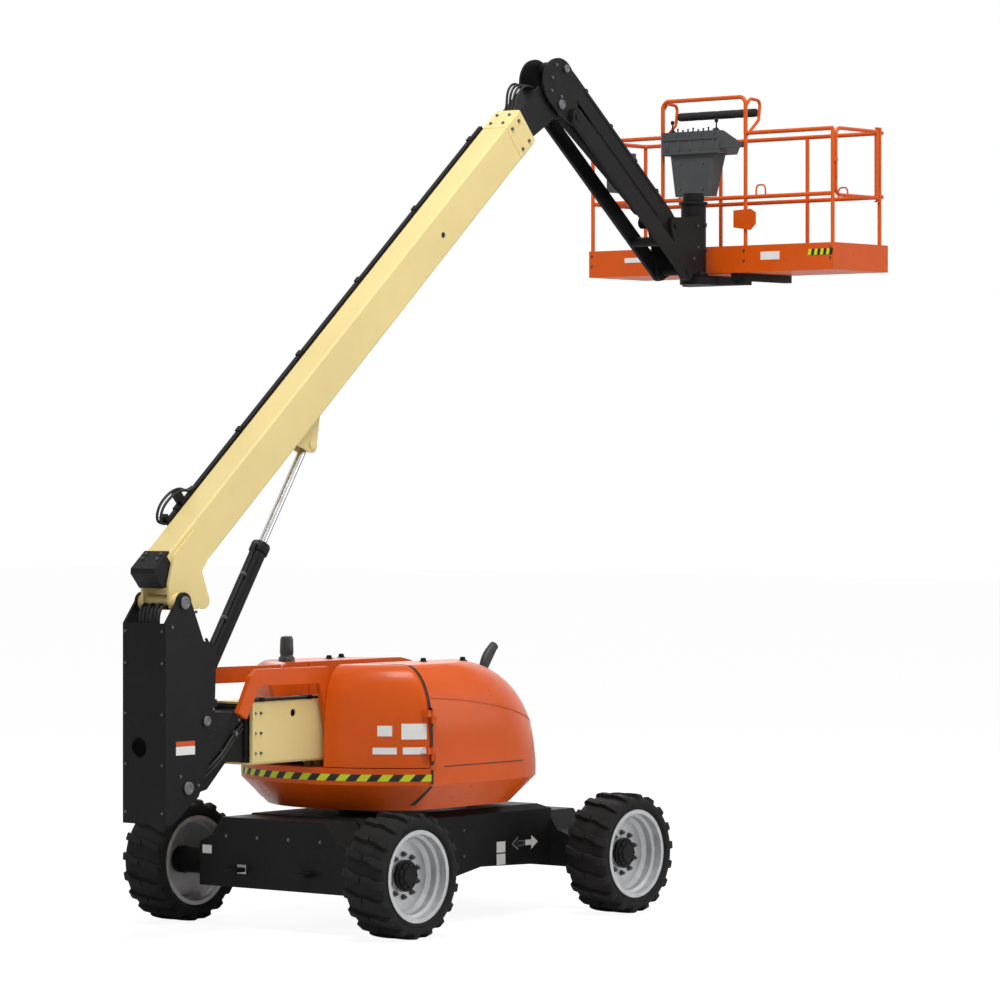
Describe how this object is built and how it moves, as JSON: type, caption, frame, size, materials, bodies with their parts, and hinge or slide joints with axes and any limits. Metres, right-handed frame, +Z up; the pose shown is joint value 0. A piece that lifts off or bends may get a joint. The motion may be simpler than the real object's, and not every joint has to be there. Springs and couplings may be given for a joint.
{
  "type": "articulating boom lift",
  "caption": "Self-propelled articulating boom lift: wheeled chassis, slewing turntable, telescoping tower boom, upright, telescoping main boom, parallel jib and a railed work platform.",
  "frame": {"origin": "on the floor, below the middle of the whole machine as posed", "axes": "+X from the upright towards the platform, +Y to the left of that direction, +Z up"},
  "size_m": [7.2472, 2.48, 6.4283],
  "materials": {
    "orange_paint": "satin",
    "cream_paint": "satin",
    "black_paint": "satin",
    "rim_paint": "satin",
    "tyre_rubber": "matt",
    "chrome_rod": "polished",
    "ring_steel": "machined",
    "amber_lens": "gloss",
    "grey_plastic": "matt",
    "foam_black": "matt",
    "engine_iron": "as cast",
    "exhaust_steel": "heat-stained"
  },
  "bodies": {
    "chassis": {"chassis_frame": "black_paint", "front_axle": "black_paint", "rear_axle": "black_paint", "slew_ring": "ring_steel", "tie_down_lugs": "black_paint"},
    "turntable": {"turntable_pan": "orange_paint", "counterweight": "orange_paint", "tower_cheeks": "black_paint", "hood_cowl_right": "orange_paint", "hood_cowl_left": "orange_paint", "engine_block": "engine_iron", "exhaust_stack": "exhaust_steel", "front_guard": "orange_paint"},
    "door_right": {"hood_door_right": "orange_paint"},
    "door_left": {"hood_door_left": "orange_paint", "beacon": "amber_lens"},
    "knuckle_right": {"knuckle_right": "black_paint"},
    "knuckle_left": {"knuckle_left": "black_paint"},
    "tower_base": {"tower_base": "cream_paint", "tower_ears": "cream_paint"},
    "tower_fly": {"tower_fly": "black_paint"},
    "tower_barrel": {"tower_lift_barrel": "black_paint"},
    "tower_rod": {"tower_lift_rod": "chrome_rod"},
    "upright": {"upright": "black_paint"},
    "boom_base": {"boom_base": "cream_paint", "boom_cap": "black_paint", "boom_ears": "cream_paint", "lift_bracket": "cream_paint", "hose_carrier": "black_paint"},
    "boom_barrel": {"boom_lift_barrel": "black_paint"},
    "boom_rod": {"boom_lift_rod": "chrome_rod"},
    "boom_fly": {"boom_fly": "black_paint"},
    "level_link": {"level_link": "black_paint"},
    "jib_upper": {"jib_upper_link": "black_paint"},
    "jib_lower": {"jib_lower_link": "black_paint"},
    "jib_barrel": {"jib_lift_barrel": "black_paint"},
    "jib_rod": {"jib_lift_rod": "chrome_rod"},
    "platform_support": {"platform_support": "black_paint"},
    "platform": {"platform_bracket": "black_paint", "platform_floor": "orange_paint", "toe_boards": "orange_paint", "platform_rails": "orange_paint", "control_console": "grey_plastic", "padded_bar": "foam_black", "document_box": "grey_plastic"},
    "gate": {"gate": "orange_paint"},
    "wheel_front_right": {"tyre_front_right": "tyre_rubber", "rim_front_right": "rim_paint", "hub_front_right": "black_paint"},
    "wheel_front_left": {"tyre_front_left": "tyre_rubber", "rim_front_left": "rim_paint", "hub_front_left": "black_paint"},
    "wheel_rear_right": {"tyre_rear_right": "tyre_rubber", "rim_rear_right": "rim_paint", "hub_rear_right": "black_paint"},
    "wheel_rear_left": {"tyre_rear_left": "tyre_rubber", "rim_rear_left": "rim_paint", "hub_rear_left": "black_paint"}
  },
  "joints": [
    {"name": "wheel_spin_front_right", "type": "hinge", "parent": "knuckle_right", "child": "wheel_front_right", "pos_m": [-2.125, -1.06, 0.445], "axis": [0, 1, 0], "continuous": true},
    {"name": "wheel_spin_front_left", "type": "hinge", "parent": "knuckle_left", "child": "wheel_front_left", "pos_m": [-2.125, 1.06, 0.445], "axis": [0, 1, 0], "continuous": true},
    {"name": "wheel_spin_rear_right", "type": "hinge", "parent": "chassis", "child": "wheel_rear_right", "pos_m": [0.355, -1.06, 0.445], "axis": [0, 1, 0], "continuous": true},
    {"name": "wheel_spin_rear_left", "type": "hinge", "parent": "chassis", "child": "wheel_rear_left", "pos_m": [0.355, 1.06, 0.445], "axis": [0, 1, 0], "continuous": true},
    {"name": "steer_right", "type": "hinge", "parent": "chassis", "child": "knuckle_right", "pos_m": [-2.125, -0.79, 0.445], "axis": [0, 0, 1], "range_deg": [-30, 30]},
    {"name": "steer_left", "type": "hinge", "parent": "chassis", "child": "knuckle_left", "pos_m": [-2.125, 0.79, 0.445], "axis": [0, 0, 1], "range_deg": [-30.5, 30.5]},
    {"name": "slew", "type": "hinge", "parent": "chassis", "child": "turntable", "pos_m": [-0.885, 0, 0.825], "axis": [0, 0, 1], "range_deg": [-180, 180]},
    {"name": "hood_door_swing_right", "type": "hinge", "parent": "turntable", "child": "door_right", "pos_m": [-1.626, -0.929, 1.4], "axis": [0, 0, 1], "range_deg": [0, 80]},
    {"name": "hood_door_swing_left", "type": "hinge", "parent": "turntable", "child": "door_left", "pos_m": [-1.626, 0.929, 1.4], "axis": [0, 0, -1], "range_deg": [0, 80]},
    {"name": "tower_lift", "type": "hinge", "parent": "turntable", "child": "tower_base", "pos_m": [-0.085, 0, 1.48], "axis": [0, 1, 0], "range_deg": [0, 68]},
    {"name": "tower_extend", "type": "slide", "parent": "tower_base", "child": "tower_fly", "axis": [-1, 0, 0], "range_m": [0, 1.85]},
    {"name": "tower_barrel_swing", "type": "hinge", "parent": "turntable", "child": "tower_barrel", "pos_m": [-0.685, 0, 0.97], "axis": [0, -1, 0], "range_deg": [-71.47, 0.5]},
    {"name": "tower_rod_slide", "type": "slide", "parent": "tower_barrel", "child": "tower_rod", "axis": [-0.9882, 0, 0.153], "range_m": [-0.004, 0.8812]},
    {"name": "upright_level", "type": "hinge", "parent": "tower_fly", "child": "upright", "pos_m": [-3.385, 0, 1.085], "axis": [0, 1, 0], "range_deg": [-68.5, 0.5]},
    {"name": "main_lift", "type": "hinge", "parent": "upright", "child": "boom_base", "pos_m": [-3.42, 0, 2.365], "axis": [0, -1, 0], "range_deg": [-40.8, 29]},
    {"name": "main_extend", "type": "slide", "parent": "boom_base", "child": "boom_fly", "axis": [0.757, 0, 0.6534], "range_m": [0, 3.5]},
    {"name": "boom_barrel_swing", "type": "hinge", "parent": "upright", "child": "boom_barrel", "pos_m": [-3.201, 0, 1.54], "axis": [0, -1, 0], "range_deg": [-31.92, 22.83]},
    {"name": "boom_rod_slide", "type": "slide", "parent": "boom_barrel", "child": "boom_rod", "axis": [0.5455, 0, 0.8381], "range_m": [-0.5083, 0.3625]},
    {"name": "nose_level", "type": "hinge", "parent": "boom_fly", "child": "level_link", "pos_m": [0.83484, 0, 6.07334], "axis": [0, -1, 0], "range_deg": [-29.5, 41.3]},
    {"name": "jib_lift", "type": "hinge", "parent": "level_link", "child": "jib_upper", "pos_m": [0.89484, 0, 6.35034], "axis": [0, -1, 0], "range_deg": [-20.8, 109.2]},
    {"name": "jib_lower_swing", "type": "hinge", "parent": "level_link", "child": "jib_lower", "pos_m": [0.99884, 0, 5.98534], "axis": [0, -1, 0], "range_deg": [-21.3, 109.7]},
    {"name": "jib_barrel_swing", "type": "hinge", "parent": "level_link", "child": "jib_barrel", "pos_m": [0.96484, 0, 6.01335], "axis": [0, -1, 0], "range_deg": [-21.38, 110.12]},
    {"name": "jib_rod_slide", "type": "slide", "parent": "jib_barrel", "child": "jib_rod", "axis": [0.8254, 0, -0.5645], "range_m": [-0.1016, 0.5165]},
    {"name": "platform_level", "type": "hinge", "parent": "jib_upper", "child": "platform_support", "pos_m": [2.28974, 0, 5.21269], "axis": [0, -1, 0], "range_deg": [-109.7, 21.3]},
    {"name": "platform_rotate", "type": "hinge", "parent": "platform_support", "child": "platform", "pos_m": [2.675, 0, 5.1], "axis": [0, 0, 1], "range_deg": [-90, 90]},
    {"name": "gate_swing", "type": "hinge", "parent": "platform", "child": "gate", "pos_m": [3.5, -1.197, 5.7], "axis": [0, 0, -1], "range_deg": [0, 85]}
  ],
  "couplings": [
    {"joint": "steer_left", "follows": "steer_right", "ratio": 1},
    {"joint": "tower_barrel_swing", "follows": "tower_lift", "ratio": -1.0437},
    {"joint": "tower_rod_slide", "follows": "tower_lift", "m_per_rad": 0.73908},
    {"joint": "upright_level", "follows": "tower_lift", "ratio": -1},
    {"joint": "boom_barrel_swing", "follows": "main_lift", "ratio": 0.77002},
    {"joint": "boom_rod_slide", "follows": "main_lift", "m_per_rad": 0.70824},
    {"joint": "nose_level", "follows": "main_lift", "ratio": -1},
    {"joint": "jib_lower_swing", "follows": "jib_lift", "ratio": 1},
    {"joint": "jib_barrel_swing", "follows": "jib_lift", "ratio": 1.0039},
    {"joint": "jib_rod_slide", "follows": "jib_lift", "m_per_rad": 0.26891},
    {"joint": "platform_level", "follows": "jib_lift", "ratio": -1}
  ]
}
